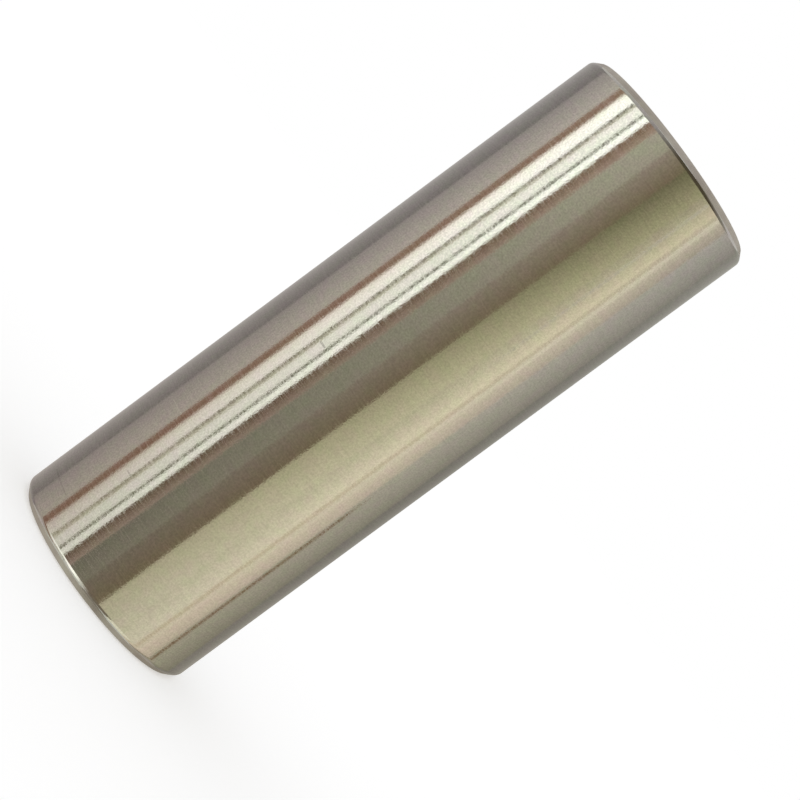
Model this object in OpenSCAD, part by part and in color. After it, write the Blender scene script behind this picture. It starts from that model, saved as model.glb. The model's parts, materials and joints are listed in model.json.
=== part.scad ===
// Gudgeon pin: the hollow, hardened steel pin that joins a piston to its connecting rod.
// All lengths are in millimetres. The pin stands on one end face: that face's centre is
// the origin, and the pin's axis is +Z.

/* [Bearing surface] */
// Diameter of the ground outside surface
pin_d = 15; // [13:0.5:24]
// Overall length from end face to end face
pin_len = 43; // [20:0.5:80]

/* [Outer edges] */
// Length along the axis of the chamfer on each outer edge
chamfer_len = 0.5; // [0.2:0.05:1]
// Angle of the outer chamfer from the axis
chamfer_angle = 45; // [15:5:60]
// Radius that blends the outer chamfer into the ground surface
blend_r = 0.4; // [0.05:0.05:0.4]
// Radius that blends the outer chamfer into the end face
face_blend_r = 0.2; // [0.05:0.05:0.2]

/* [Bore] */
// Diameter of the bore that runs right through to lighten the pin
bore_d = 10; // [4:0.25:12]
// Depth along the axis of the countersink at each mouth of the bore
mouth_depth = 0.5; // [0.1:0.05:1]
// Angle of the bore countersink from the axis
mouth_angle = 45; // [30:5:60]

/* [Hidden] */
$fn = 96;

pin_r = pin_d / 2;
bore_r = bore_d / 2;
mouth_r = bore_r + mouth_depth * tan(mouth_angle);
face_r = pin_r - chamfer_len * tan(chamfer_angle);

// Distance from each sharp corner of the chamfer to the ends of its blend arc. It is a hair
// short of full tangency, so the arc crosses the chamfer cleanly.
blend_run = 0.99 * blend_r * tan(chamfer_angle / 2);
face_run = 0.99 * face_blend_r * tan((90 - chamfer_angle) / 2);
blend_height = chamfer_len + blend_run;
flat_r = face_r - face_run;

// Radius and height of each corner of the lower end, from the bore out to the ground surface.
end_corners = [
    [bore_r, mouth_depth],
    [mouth_r, 0],
    [flat_r, 0],
    [face_r + face_run * sin(chamfer_angle), face_run * cos(chamfer_angle)],
    [pin_r - blend_run * sin(chamfer_angle), chamfer_len - blend_run * cos(chamfer_angle)],
    [pin_r, blend_height]
];

// The wall's section: the lower end's corners, then the same corners turned over for the
// upper end. The discs fill the outer corners, so each edge rolls over on a true arc.
module wall_section() {
    polygon(concat(end_corners, [
        for (i = [len(end_corners) - 1 : -1 : 0])
            [end_corners[i][0], pin_len - end_corners[i][1]]
    ]));
    for (z = [blend_height, pin_len - blend_height])
        translate([pin_r - blend_r, z])
            circle(r = blend_r);
    for (z = [face_blend_r, pin_len - face_blend_r])
        translate([flat_r, z])
            circle(r = face_blend_r);
}

// One turned piece, the same at both ends: bored, countersunk, chamfered and ground.
module gudgeon_pin() {
    color("#b9b2a3")
        rotate_extrude()
            wall_section();
}

gudgeon_pin();
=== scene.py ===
import json
import math

import bmesh
import bpy
from mathutils import Matrix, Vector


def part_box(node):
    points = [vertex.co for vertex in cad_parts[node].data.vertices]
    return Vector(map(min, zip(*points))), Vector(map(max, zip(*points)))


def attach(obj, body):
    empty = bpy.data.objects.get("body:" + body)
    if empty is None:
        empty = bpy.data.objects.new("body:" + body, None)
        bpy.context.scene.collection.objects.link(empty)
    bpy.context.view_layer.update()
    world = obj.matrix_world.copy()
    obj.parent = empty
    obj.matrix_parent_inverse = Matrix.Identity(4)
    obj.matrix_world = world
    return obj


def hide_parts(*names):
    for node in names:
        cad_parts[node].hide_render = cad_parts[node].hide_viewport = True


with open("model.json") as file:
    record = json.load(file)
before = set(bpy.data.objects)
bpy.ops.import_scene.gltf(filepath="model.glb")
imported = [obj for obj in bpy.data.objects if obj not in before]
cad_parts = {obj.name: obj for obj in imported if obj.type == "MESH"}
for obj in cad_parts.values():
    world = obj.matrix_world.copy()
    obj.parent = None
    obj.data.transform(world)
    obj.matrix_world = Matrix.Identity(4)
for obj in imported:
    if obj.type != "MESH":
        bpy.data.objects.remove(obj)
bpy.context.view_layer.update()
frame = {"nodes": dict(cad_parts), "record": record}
mm = 0.001  # the frame is in metres
print("frame loaded:", sorted(frame["nodes"]))

bpy.context.scene.view_settings.view_transform = "Standard"

# sockets of a Mix node that mixes colours, by number, because several of them share a name
mixShare, mixFirst, mixSecond, mixResult = 0, 6, 7, 2


def linear(hexColour):
    # sRGB hex to the linear colour that the shaders take
    parts = [int(hexColour[i : i + 2], 16) / 255 for i in (1, 3, 5)]
    return [p / 12.92 if p <= 0.04045 else ((p + 0.055) / 1.055) ** 2.4 for p in parts] + [1.0]


def addNode(tree, kind, links=None, values=None, **settings):
    # one shader node with its settings, its socket values and what feeds it
    node = tree.nodes.new("ShaderNode" + kind)
    for name, value in settings.items():
        setattr(node, name, value)
    for socket, value in (values or {}).items():
        node.inputs[socket].default_value = value
    for socket, source in (links or {}).items():
        tree.links.new(source, node.inputs[socket])
    return node


def newMaterial(name):
    material = bpy.data.materials.new(name)
    material.use_nodes = True
    material.node_tree.nodes.clear()
    return material, material.node_tree


def angleRound(tree, axes):
    # the turn round the pin's axis in radians, from the front towards +X
    front = addNode(tree, "Math", {0: axes.outputs["Y"]}, {1: -1.0}, operation="MULTIPLY")
    angle = addNode(tree, "Math", {0: axes.outputs["X"], 1: front.outputs["Value"]}, operation="ARCTAN2")
    return angle.outputs["Value"]


# camera, at the photograph's viewpoint: close to the pin, square to it, and rolled so the pin slants
view = {
    "distance": 126.2 * mm,  # from the pin's axis
    "height": 27.0 * mm,  # of the lens above the lower end face
    "pitch": -2.60,  # degrees, looking a little down
    "yaw": 0.914,  # degrees to the right
    "roll": 53.554,  # degrees, which lays the upper end to the right
    "lens": 93.69,  # mm
    "sensor": 36,  # mm
    "clipStart": 5 * mm,
}
bpy.ops.object.camera_add(location=(0, -view["distance"], view["height"]))
camera = bpy.context.object
camera.name = "photoCamera"
camera.data.sensor_width = view["sensor"]
camera.data.lens = view["lens"]
camera.data.clip_start = view["clipStart"]
turn = Matrix.Rotation(math.radians(-view["yaw"]), 3, "Z")
tilt = Matrix.Rotation(math.radians(90 + view["pitch"]), 3, "X")
roll = Matrix.Rotation(math.radians(view["roll"]), 3, "Z")
camera.rotation_euler = (turn @ tilt @ roll).to_euler()
bpy.context.scene.camera = camera
print("camera placed")

# the pin: one turned piece, drawn out ring by ring from the mouth of its bore
mounts = {mount["name"]: mount for mount in frame["record"]["mounts"]}
low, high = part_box("gudgeon_pin")
pin = {
    "facets": 256,  # round the pin, too many to see
    "length": high.z - low.z,
    "radius": mounts["bearing_surface"]["dims"]["r_mm"] * mm,
    "boreRadius": mounts["bore"]["dims"]["r_mm"] * mm,
    "chamfer": 0.5 * mm,  # on the outer edges, at 45 degrees
    "mouth": 0.5 * mm,  # countersink of the bore, at 45 degrees
    "blendRadius": 0.4 * mm,  # rolls the chamfer into the ground surface
    "faceRadius": 0.2 * mm,  # and into the end face
    "mouthRadius": 0.1 * mm,  # on the corners of the countersink
    "blendSteps": 8,
    "turnedLean": 35,  # degrees from upright, past which a face was turned and not ground or drawn
}


def selectRings(piece, rings):
    # in edit mode, picks the edges that lie on rings of a given radius and height
    near = 0.01 * mm
    mesh = bmesh.from_edit_mesh(piece.data)
    bpy.ops.mesh.select_all(action="DESELECT")
    for edge in mesh.edges:
        for radius, height in rings:
            if all(abs(v.co.xy.length - radius) < near and abs(v.co.z - height) < near for v in edge.verts):
                edge.select_set(True)
    bmesh.update_edit_mesh(piece.data)


def makePin():
    top = pin["length"]
    faceEdge = pin["radius"] - pin["chamfer"]
    mouthEdge = pin["boreRadius"] + pin["mouth"]
    lowerCorners = [
        (pin["boreRadius"], pin["mouth"]),
        (mouthEdge, 0),
        (faceEdge, 0),
        (pin["radius"], pin["chamfer"]),
    ]
    upperCorners = [(radius, top - height) for radius, height in reversed(lowerCorners)]
    corners = lowerCorners + upperCorners

    bpy.ops.object.select_all(action="DESELECT")
    bpy.ops.mesh.primitive_circle_add(vertices=pin["facets"], radius=pin["boreRadius"], location=(0, 0, 0))
    piece = bpy.context.object
    piece.name = "groundPin"
    bpy.ops.object.mode_set(mode="EDIT")
    bpy.ops.mesh.select_mode(type="EDGE")
    bpy.ops.mesh.select_all(action="SELECT")
    bpy.ops.transform.translate(value=(0, 0, pin["mouth"]))
    for (radius, height), (nextRadius, nextHeight) in zip(corners, corners[1:]):
        bpy.ops.mesh.extrude_region_move(TRANSFORM_OT_translate={"value": (0, 0, nextHeight - height)})
        grow = nextRadius / radius
        bpy.ops.transform.resize(value=(grow, grow, 1), center_override=(0, 0, nextHeight))
    bpy.ops.mesh.select_all(action="DESELECT")
    bpy.ops.mesh.select_non_manifold()
    bpy.ops.mesh.bridge_edge_loops()  # the bore's wall joins the two open mouths

    sideRings = [lowerCorners[3], upperCorners[0]]
    faceRings = [lowerCorners[2], upperCorners[1]]
    mouthRings = lowerCorners[:2] + upperCorners[2:]
    reach = math.tan(math.radians(45 / 2))  # every corner turns by 45 degrees
    for rings, radius in (
        (sideRings, pin["blendRadius"]),
        (faceRings, pin["faceRadius"]),
        (mouthRings, pin["mouthRadius"]),
    ):
        selectRings(piece, rings)
        bpy.ops.mesh.bevel(offset=radius * reach, segments=pin["blendSteps"], affect="EDGES")
    bpy.ops.mesh.select_all(action="SELECT")
    bpy.ops.mesh.normals_make_consistent(inside=False)
    bpy.ops.object.mode_set(mode="OBJECT")
    bpy.ops.object.shade_smooth()
    flatten = piece.modifiers.new("flatFaces", "WEIGHTED_NORMAL")  # large faces keep their own normals
    flatten.weight = 100
    bpy.ops.object.modifier_apply(modifier=flatten.name)
    return piece


groundPin = makePin()
print("pin modelled:", len(groundPin.data.polygons), "faces")


def noiseTo(pair):
    # a noise texture mostly keeps between 0.3 and 0.7, and this spreads that over a pair of values
    return {"From Min": 0.3, "From Max": 0.7, "To Min": pair[0], "To Max": pair[1]}


def patchyTone(tree, place, size, tones, detail):
    # two tones of the steel in soft patches
    patches = addNode(tree, "TexNoise", {"Vector": place}, {"Scale": 1 / size, "Detail": detail})
    share = addNode(tree, "MapRange", {"Value": patches.outputs["Fac"]}, noiseTo((0, 1)))
    first, second = [linear(tone) for tone in tones]
    tone = addNode(
        tree,
        "Mix",
        {mixShare: share.outputs["Result"]},
        {mixFirst: first, mixSecond: second},
        data_type="RGBA",
    )
    return tone.outputs[mixResult]


def steelSurface(tree, tone, shade, roughness, bump):
    # bare metal of that tone, darker and lighter with the shade
    colour = addNode(
        tree,
        "Mix",
        {mixFirst: tone, mixSecond: shade},
        {mixShare: 1.0},
        data_type="RGBA",
        blend_type="MULTIPLY",
    )
    steel = addNode(
        tree,
        "BsdfPrincipled",
        {"Base Color": colour.outputs[mixResult], "Roughness": roughness, "Normal": bump},
        {"Metallic": 1.0},
    )
    addNode(tree, "OutputMaterial", {"Surface": steel.outputs["BSDF"]})


# hardened alloy steel, ground between centres: bright and warm grey, with fine marks that run round the pin
def groundSteelMaterial():
    finish = {
        "tones": ("#cacdc6", "#cdc9ca"),  # faint olive and mauve that the grinding heat leaves
        "toneSize": 0.7 * mm,
        "grain": 0.12 * mm,  # the real grit is far finer; this is as fine as the render can show
        "grainDepth": 0.0020 * mm,
        "grainShade": (0.91, 1.09),
        "markWidth": 0.09 * mm,  # grinding marks, drawn as wide as they need to show
        "markLength": 1.5 * mm,
        "markShade": (0.955, 1.045),
        "roughness": (0.06, 0.145),  # from the smoothest mark to the coarsest
    }
    # light marks of handling: height and width in mm, the turn in degrees that each covers, and its shade;
    # the one drawn lighter is a real scratch with a painted glint on it
    scratches = [
        {"height": 2.5, "width": 0.10, "span": (-66, -44), "shade": -0.13},
        {"height": 6.4, "width": 0.10, "span": (-34, -30), "shade": -0.22},
        # drawn lighter than the steel: a painted glint on a real scratch
        {"height": 10.8, "width": 0.08, "span": (-53, -40), "shade": 0.12},
        {"height": 19.9, "width": 0.12, "span": (-28, -24), "shade": -0.30},
    ]
    material, tree = newMaterial("Ground hardened steel")
    place = addNode(tree, "TexCoord").outputs["Object"]
    tone = patchyTone(tree, place, finish["toneSize"], finish["tones"], detail=2.0)
    markPlace = addNode(
        tree,
        "Mapping",
        {"Vector": place},
        {"Scale": (1 / finish["markLength"], 1 / finish["markLength"], 1 / finish["markWidth"])},
    )
    marks = addNode(
        tree,
        "TexNoise",
        {"Vector": markPlace.outputs["Vector"]},
        {"Scale": 1.0, "Detail": 1.0, "Roughness": 0.5},
    )
    grain = addNode(tree, "TexNoise", {"Vector": place}, {"Scale": 1 / finish["grain"], "Detail": 1.0})
    markShade = addNode(tree, "MapRange", {"Value": marks.outputs["Fac"]}, noiseTo(finish["markShade"]))
    grainShade = addNode(tree, "MapRange", {"Value": grain.outputs["Fac"]}, noiseTo(finish["grainShade"]))
    shade = addNode(
        tree,
        "Math",
        {0: markShade.outputs["Result"], 1: grainShade.outputs["Result"]},
        operation="MULTIPLY",
    )
    axes = addNode(tree, "SeparateXYZ", {"Vector": place})
    angle = angleRound(tree, axes)
    for scratch in scratches:
        start, end = [math.radians(turn) for turn in scratch["span"]]
        onHeight = addNode(
            tree,
            "Math",
            {0: axes.outputs["Z"]},
            {1: scratch["height"] * mm, 2: scratch["width"] * mm / 2},
            operation="COMPARE",
        )
        onTurn = addNode(
            tree,
            "Math",
            {0: angle},
            {1: (start + end) / 2, 2: (end - start) / 2},
            operation="COMPARE",
        )
        onScratch = addNode(
            tree,
            "Math",
            {0: onHeight.outputs["Value"], 1: onTurn.outputs["Value"]},
            operation="MULTIPLY",
        )
        shade = addNode(
            tree,
            "Math",
            {0: onScratch.outputs["Value"], 2: shade.outputs["Value"]},
            {1: scratch["shade"]},
            operation="MULTIPLY_ADD",
        )
    roughness = addNode(tree, "MapRange", {"Value": marks.outputs["Fac"]}, noiseTo(finish["roughness"]))
    bump = addNode(tree, "Bump", {"Height": grain.outputs["Fac"]}, {"Distance": finish["grainDepth"]})
    steelSurface(tree, tone, shade.outputs["Value"], roughness.outputs["Result"], bump.outputs["Normal"])
    return material


# the same steel as the lathe left it on the ends: duller, with rings about the axis
def turnedSteelMaterial():
    finish = {
        "tones": ("#bfbbb0", "#b2aba4"),
        "toneSize": 0.8 * mm,
        "ringPitch": 0.12 * mm,  # the tool's feed, as fine as the render can show
        "ringDepth": 0.003 * mm,
        "ringShade": (0.9, 1.08),
        "roughness": (0.30, 0.40),
    }
    material, tree = newMaterial("Turned hardened steel")
    place = addNode(tree, "TexCoord").outputs["Object"]
    tone = patchyTone(tree, place, finish["toneSize"], finish["tones"], detail=3.0)
    flat = addNode(tree, "VectorMath", {0: place}, {1: (1, 1, 0)}, operation="MULTIPLY")
    radius = addNode(tree, "VectorMath", {0: flat.outputs["Vector"]}, operation="LENGTH")
    axes = addNode(tree, "SeparateXYZ", {"Vector": place})
    section = addNode(tree, "CombineXYZ", {"X": radius.outputs["Value"], "Z": axes.outputs["Z"]})
    rings = addNode(
        tree,
        "TexNoise",
        {"Vector": section.outputs["Vector"]},
        {"Scale": 1 / finish["ringPitch"], "Detail": 1.0},
    )
    shade = addNode(tree, "MapRange", {"Value": rings.outputs["Fac"]}, noiseTo(finish["ringShade"]))
    roughness = addNode(tree, "MapRange", {"Value": rings.outputs["Fac"]}, noiseTo(finish["roughness"]))
    bump = addNode(tree, "Bump", {"Height": rings.outputs["Fac"]}, {"Distance": finish["ringDepth"]})
    steelSurface(tree, tone, shade.outputs["Result"], roughness.outputs["Result"], bump.outputs["Normal"])
    return material


# the bore as it was drawn, browned by hardening: dull and darker, with lines that run through it
def drawnBoreMaterial():
    finish = {
        "tones": ("#a09a90", "#877d70"),
        "toneSize": 2.0 * mm,  # patches of the browning
        "lineWidth": 0.15 * mm,  # draw lines, as fine as the render can show
        "lineLength": 8.0 * mm,
        "lineDepth": 0.005 * mm,
        "lineShade": (0.85, 1.1),
        "roughness": (0.34, 0.48),
    }
    material, tree = newMaterial("Drawn hardened steel")
    place = addNode(tree, "TexCoord").outputs["Object"]
    tone = patchyTone(tree, place, finish["toneSize"], finish["tones"], detail=3.0)
    linePlace = addNode(
        tree,
        "Mapping",
        {"Vector": place},
        {"Scale": (1 / finish["lineWidth"], 1 / finish["lineWidth"], 1 / finish["lineLength"])},
    )
    lines = addNode(tree, "TexNoise", {"Vector": linePlace.outputs["Vector"]}, {"Scale": 1.0, "Detail": 2.0})
    shade = addNode(tree, "MapRange", {"Value": lines.outputs["Fac"]}, noiseTo(finish["lineShade"]))
    roughness = addNode(tree, "MapRange", {"Value": lines.outputs["Fac"]}, noiseTo(finish["roughness"]))
    bump = addNode(tree, "Bump", {"Height": lines.outputs["Fac"]}, {"Distance": finish["lineDepth"]})
    steelSurface(tree, tone, shade.outputs["Result"], roughness.outputs["Result"], bump.outputs["Normal"])
    return material


def finishPin():
    ground, turned, drawn = 0, 1, 2
    for material in (groundSteelMaterial(), turnedSteelMaterial(), drawnBoreMaterial()):
        groundPin.data.materials.append(material)
    wallMiddle = (pin["radius"] + pin["boreRadius"]) / 2
    turnedSlope = math.sin(math.radians(pin["turnedLean"]))
    for face in groundPin.data.polygons:
        if abs(face.normal.z) > turnedSlope:
            face.material_index = turned
        else:
            face.material_index = ground if face.center.xy.length > wallMiddle else drawn


finishPin()
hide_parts("gudgeon_pin")
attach(groundPin, "root")
print("pin finished:", [material.name for material in groundPin.data.materials])

# the studio: a pale floor, a white surround, and a drum of cards that only the steel's reflections see
studio = {
    "floorSize": 3000 * mm,
    "floorColour": "#e6e6e6",
    "floorGlow": 0.42,  # with the sky's light this makes the open floor white
    "skyLevel": 0.75,  # what the white surround gives the floor
    "white": "#ffffff",
    "drumRadius": 600 * mm,
    "drumFoot": -820 * mm,
    "drumHead": 300 * mm,
    "ceiling": 2000 * mm,  # height of the disc that closes the cards above the drum
    "seenHeights": (-125 * mm, 115 * mm),  # what both ends of the side show to the camera
    "arcStep": 2,  # degrees of arc in each flat of a card
    "discSides": 64,
    "tints": ("#fffaf6", "#ffffff"),  # most cards are a little warmer low down
}
wholeDrum = (studio["drumFoot"], studio["drumHead"])
overDrum = (studio["drumHead"], studio["ceiling"])
rimTop = -185 * mm  # from the camera, only the lower rim shows what is under this
# each card says where it stands round the pin, in degrees from the front, and its colour at both edges
# foot, head: how bright both edges are at the lower and the upper one of the seen heights
# belly: the share by which the card is brighter half way between those heights
# tints: what its colours are multiplied by at those heights
# heights: its lower and upper edge, where it isn't as tall as the drum
# near: its share of the drum's radius, where it stands in front of other cards
cards = [
    {"name": "upperEdge", "span": (-180, -118), "colours": ("#c4c0bd", "#8e8885")},
    {"name": "upperGrey", "span": (-118, -84.7), "colours": ("#b0a8a4", "#cfc7bb"),
     "foot": (0.89, 0.87), "head": (0.97, 1.08)},
    {"name": "upperFrame", "span": (-84.7, -77.8), "colours": ("#a48a7a", "#9b7c66"),
     "foot": (0.88, 0.84), "head": (1.2, 1.06), "tints": ("#fff5f1", "#ffffff")},
    {"name": "paneEdge", "span": (-77.8, -74.2), "colours": ("#9b7c66", "#fffcf0"),
     "foot": (0.84, 0.72), "head": (1.06, 1.75), "tints": ("#fff2ea", "#ffffff")},
    {"name": "upperPane", "span": (-74.2, -62.6), "colours": ("#fffcf0", "#fefff6"),
     "foot": (0.72, 0.89), "head": (1.75, 1.80), "tints": ("#fff5ee", "#ffffff")},
    {"name": "upperBar", "span": (-62.6, -57.4), "colours": ("#8a8166", "#f0eed8"),
     "foot": (1.0, 0.90), "head": (0.42, 1.40)},
    {"name": "middlePane", "span": (-57.4, -48.0), "colours": ("#fefdf1", "#fdfef1"),
     "foot": (0.92, 0.94), "head": (1.50, 1.55)},
    {"name": "lowerBar", "span": (-48.0, -45.2), "colours": ("#94947f", "#94947f"),
     "foot": (0.95, 0.95), "head": (0.70, 0.70)},
    {"name": "lowerPane", "span": (-45.2, -38.9), "colours": ("#fcfff2", "#fcfff4"),
     "foot": (1.08, 1.10), "head": (1.82, 1.92)},
    {"name": "lowerFrame", "span": (-38.9, -27.0), "colours": ("#7a6550", "#a8998a"),
     "foot": (0.76, 1.12), "head": (1.34, 1.42), "belly": -0.13, "tints": ("#fffaf6", "#fff6f2")},
    {"name": "olive", "span": (-27.0, -7), "colours": ("#9f9d8a", "#9f9a88"),
     "foot": (0.61, 0.84), "head": (1.65, 1.50), "belly": -0.13},
    {"name": "shade", "span": (-7, 16.5), "colours": ("#968c7c", "#86785f"),
     "foot": (0.78, 0.97), "head": (1.38, 1.08), "belly": -0.03},
    {"name": "khaki", "span": (16.5, 46), "colours": ("#cec8a6", "#d8d2b5"),
     "foot": (1.01, 1.15), "head": (0.31, 0.74), "belly": 0.18, "tints": ("#fffdff", "#ffffea")},
    {"name": "cream", "span": (46, 69.8), "colours": ("#dcd8b8", "#fff8da"),
     "foot": (1.04, 0.92), "head": (0.68, 0.96), "belly": 0.14, "tints": ("#fffcfd", "#fffaf2")},
    {"name": "creamLine", "span": (54.3, 57.0), "colours": ("#dcd5bd", "#dcd5bd"),
     "heights": (30 * mm, 160 * mm), "near": 0.98},
    {"name": "creamSeam", "span": (69.8, 73.8), "colours": ("#e0d4b8", "#e0d4b8"), "belly": 0.1},
    {"name": "beigeLine", "span": (73.8, 78.3), "colours": ("#fff6dc", "#fff6dc"),
     "foot": (0.90, 0.90), "head": (0.96, 0.96), "belly": 0.06},
    {"name": "beige", "span": (78.3, 92.5), "colours": ("#f8ecd4", "#e7dac6"),
     "foot": (0.93, 0.91), "head": (0.80, 0.68), "belly": 0.12},
    {"name": "lowerGrey", "span": (92.5, 131), "colours": ("#cac5bb", "#a09b92"),
     "foot": (0.94, 0.88), "head": (1.02, 1.0), "belly": 0.03, "tints": ("#fffdea", "#ffffff")},
    {"name": "lowerLine", "span": (94.5, 98.0), "colours": ("#8f7a60", "#8f7a60"),
     "heights": (studio["drumFoot"], -40 * mm), "near": 0.98},
    {"name": "lowerEdge", "span": (131, 180), "colours": ("#a09d94", "#b8b6ae"),
     "foot": (0.82, 0.95), "head": (1.0, 1.0), "belly": -0.15},
    # low cards, for the lower rim
    {"name": "lowGlowUpper", "span": (-67, -38), "colours": ("#fcfff7", "#fcfff7"),
     "heights": (-480 * mm, rimTop), "foot": (1.3, 1.5), "near": 0.9},
    {"name": "lowGlowMiddle", "span": (-38, -21), "colours": ("#fcfff7", "#fcfff7"),
     "heights": (-800 * mm, rimTop), "foot": (1.65, 1.7), "near": 0.9},
    {"name": "lowGlowEdge", "span": (-21, 3), "colours": ("#fcfff7", "#857c6c"),
     "heights": (-800 * mm, rimTop), "foot": (1.7, 1.0), "near": 0.9},
    {"name": "lowShade", "span": (3, 37.5), "colours": ("#857c6c", "#857c6c"),
     "heights": (studio["drumFoot"], rimTop), "near": 0.9},
    {"name": "lowGlowLower", "span": (37.5, 66), "colours": ("#fffde6", "#fffde6"),
     "heights": (-700 * mm, rimTop), "foot": (1.08, 1.08), "near": 0.9},
    {"name": "lowBackUpper", "span": (-180, -100), "colours": ("#d2cec8", "#d2cec8"),
     "heights": (studio["drumFoot"], -420 * mm), "near": 0.98},
    {"name": "lowBackLower", "span": (100, 180), "colours": ("#b8b4aa", "#c0bcb4"),
     "heights": (studio["drumFoot"], -420 * mm), "near": 0.98},
    # high cards, for the upper rim and the upper end face
    {"name": "valance", "span": (5, 65), "colours": ("#5c5342", "#5c5342"), "heights": overDrum},
    {"name": "valanceUpper", "span": (-50, 5), "colours": ("#b8b4ae", "#5c5342"), "heights": overDrum},
    {"name": "valanceLower", "span": (65, 105), "colours": ("#5c5342", "#aaa498"), "heights": overDrum},
    {"name": "highFront", "span": (-95, -50), "colours": ("#c8c4be", "#b8b4ae"), "heights": overDrum},
    {"name": "highBackUpper", "span": (-180, -95), "colours": ("#e0dcd8", "#c8c4be"), "heights": overDrum},
    {"name": "highBackLower", "span": (105, 180), "colours": ("#d8d4ce", "#e0dcd8"), "heights": overDrum},
]
# discs that close the drum, and a darker one that lies over the ground in front
wholeWidth = (studio["drumRadius"], studio["drumRadius"])
discs = [
    {"name": "ceiling", "centre": (0, 0, studio["ceiling"]), "radii": wholeWidth, "colour": "#e6e4e2"},
    {"name": "ground", "centre": (0, 0, studio["drumFoot"]), "radii": wholeWidth, "colour": "#e0ded4"},
    {"name": "groundShade", "centre": (95 * mm, -140 * mm, -800 * mm), "radii": (150 * mm, 420 * mm),
     "colour": "#968f80"},
]


def keepInReflections(piece):
    piece.visible_camera = False
    piece.visible_diffuse = False
    piece.visible_shadow = False


# a glowing card: its colours run across it, and its brightness runs across it and up it
def cardMaterial(card, start, end):
    footHeight, headHeight = studio["seenHeights"]
    first, last = [linear(colour) for colour in card["colours"]]
    footTint, headTint = [linear(tint) for tint in card.get("tints", studio["tints"])]
    material, tree = newMaterial(card["name"])
    axes = addNode(tree, "SeparateXYZ", {"Vector": addNode(tree, "TexCoord").outputs["Object"]})
    across = addNode(
        tree,
        "MapRange",
        {"Value": angleRound(tree, axes)},
        {"From Min": start, "From Max": end},
    ).outputs["Result"]
    rise = addNode(
        tree,
        "MapRange",
        {"Value": axes.outputs["Z"]},
        {"From Min": footHeight, "From Max": headHeight},
    ).outputs["Result"]
    colour = addNode(
        tree, "Mix", {mixShare: across}, {mixFirst: first, mixSecond: last}, data_type="RGBA"
    )
    tint = addNode(
        tree, "Mix", {mixShare: rise}, {mixFirst: footTint, mixSecond: headTint}, data_type="RGBA"
    )
    tinted = addNode(
        tree,
        "Mix",
        {mixFirst: colour.outputs[mixResult], mixSecond: tint.outputs[mixResult]},
        {mixShare: 1.0},
        data_type="RGBA",
        blend_type="MULTIPLY",
    )
    footLevel, headLevel = [
        addNode(tree, "MapRange", {"Value": across}, {"To Min": one, "To Max": other}).outputs["Result"]
        for one, other in (card.get("foot", (1, 1)), card.get("head", (1, 1)))
    ]
    level = addNode(tree, "MapRange", {"Value": rise, "To Min": footLevel, "To Max": headLevel})
    fall = addNode(tree, "Math", {1: rise}, {0: 1.0}, operation="SUBTRACT")
    hump = addNode(tree, "Math", {0: rise, 1: fall.outputs["Value"]}, operation="MULTIPLY")
    swell = addNode(
        tree,
        "Math",
        {0: hump.outputs["Value"]},
        {1: 4 * card.get("belly", 0), 2: 1.0},  # the hump is a quarter half way up
        operation="MULTIPLY_ADD",
    )
    strength = addNode(
        tree, "Math", {0: level.outputs["Result"], 1: swell.outputs["Value"]}, operation="MULTIPLY"
    )
    glow = addNode(
        tree, "Emission", {"Color": tinted.outputs[mixResult], "Strength": strength.outputs["Value"]}
    )
    addNode(tree, "OutputMaterial", {"Surface": glow.outputs["Emission"]})
    return material


def makeCard(card):
    start, end = [math.radians(angle) for angle in card["span"]]
    radius = studio["drumRadius"] * card.get("near", 1.0)
    bottom, top = card.get("heights", wholeDrum)
    bpy.ops.object.select_all(action="DESELECT")
    bpy.ops.mesh.primitive_plane_add(size=1, location=(0, 0, 0))
    piece = bpy.context.object
    piece.name = card["name"]
    bpy.ops.object.mode_set(mode="EDIT")
    bpy.ops.mesh.select_mode(type="VERT")
    bpy.ops.mesh.select_all(action="SELECT")
    bpy.ops.mesh.merge(type="CENTER")  # one point, drawn up into an edge and swept round the pin
    bpy.ops.transform.translate(value=(radius * math.sin(start), -radius * math.cos(start), bottom))
    bpy.ops.mesh.extrude_region_move(TRANSFORM_OT_translate={"value": (0, 0, top - bottom)})
    bpy.ops.mesh.select_all(action="SELECT")
    steps = max(1, round(math.degrees(end - start) / studio["arcStep"]))
    bpy.ops.mesh.spin(steps=steps, angle=start - end, center=(0, 0, 0), axis=(0, 0, 1))
    bpy.ops.object.mode_set(mode="OBJECT")
    piece.data.materials.append(cardMaterial(card, start, end))
    keepInReflections(piece)


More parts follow.
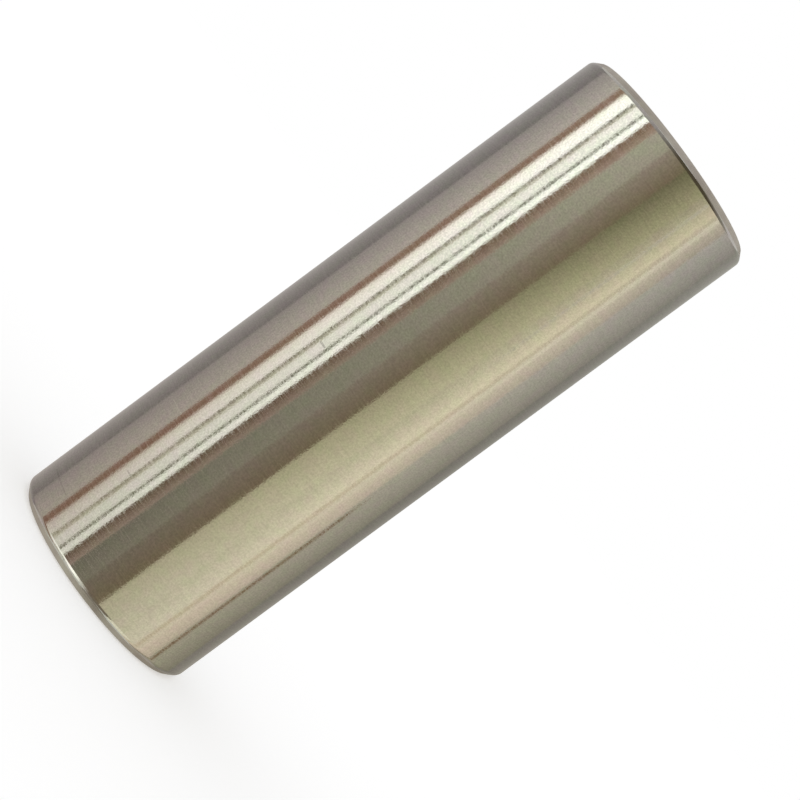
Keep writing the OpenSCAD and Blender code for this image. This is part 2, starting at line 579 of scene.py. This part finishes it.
def makeDisc(disc):
    width, depth = disc["radii"]
    bpy.ops.object.select_all(action="DESELECT")
    bpy.ops.mesh.primitive_circle_add(
        vertices=studio["discSides"], radius=width, fill_type="NGON", location=disc["centre"]
    )
    piece = bpy.context.object
    bpy.ops.transform.resize(value=(1, depth / width, 1))
    bpy.ops.object.transform_apply(scale=True)
    piece.name = disc["name"]
    material, tree = newMaterial(disc["name"])
    glow = addNode(tree, "Emission", None, {"Color": linear(disc["colour"]), "Strength": 1.0})
    addNode(tree, "OutputMaterial", {"Surface": glow.outputs["Emission"]})
    piece.data.materials.append(material)
    keepInReflections(piece)


def backgroundRays(tree):
    # 1 for the rays that meet the background: straight from the camera, mirrored, or through something clear
    path = addNode(tree, "LightPath")
    seen = path.outputs["Is Camera Ray"]
    for kind in ("Is Glossy Ray", "Is Transmission Ray"):
        seen = addNode(tree, "Math", {0: seen, 1: path.outputs[kind]}, operation="ADD").outputs["Value"]
    return seen


def makeFloor():
    bpy.ops.object.select_all(action="DESELECT")
    bpy.ops.mesh.primitive_plane_add(size=studio["floorSize"], location=(0, 0, 0))
    floor = bpy.context.object
    floor.name = "floor"
    floor.visible_glossy = False  # else the pin, which stands on it, would show little but white
    material, tree = newMaterial("Pale floor")
    matt = addNode(tree, "BsdfDiffuse", None, {"Color": linear(studio["floorColour"])})
    level = addNode(
        tree, "MapRange", {"Value": backgroundRays(tree)}, {"To Min": 0.0, "To Max": studio["floorGlow"]}
    )
    glow = addNode(
        tree, "Emission", {"Strength": level.outputs["Result"]}, {"Color": linear(studio["white"])}
    )
    both = addNode(tree, "AddShader", {0: matt.outputs["BSDF"], 1: glow.outputs["Emission"]})
    addNode(tree, "OutputMaterial", {"Surface": both.outputs["Shader"]})
    floor.data.materials.append(material)


def makeSurround():
    world = bpy.data.worlds.new("white surround")
    bpy.context.scene.world = world
    world.use_nodes = True
    tree = world.node_tree
    tree.nodes.clear()
    level = addNode(
        tree, "MapRange", {"Value": backgroundRays(tree)}, {"To Min": studio["skyLevel"], "To Max": 1.0}
    )
    sky = addNode(
        tree, "Background", {"Strength": level.outputs["Result"]}, {"Color": linear(studio["white"])}
    )
    addNode(tree, "OutputWorld", {"Surface": sky.outputs["Background"]})


makeFloor()
makeSurround()
for card in cards:
    makeCard(card)
for disc in discs:
    makeDisc(disc)
print("studio set:", len(cards), "cards and", len(discs), "discs")
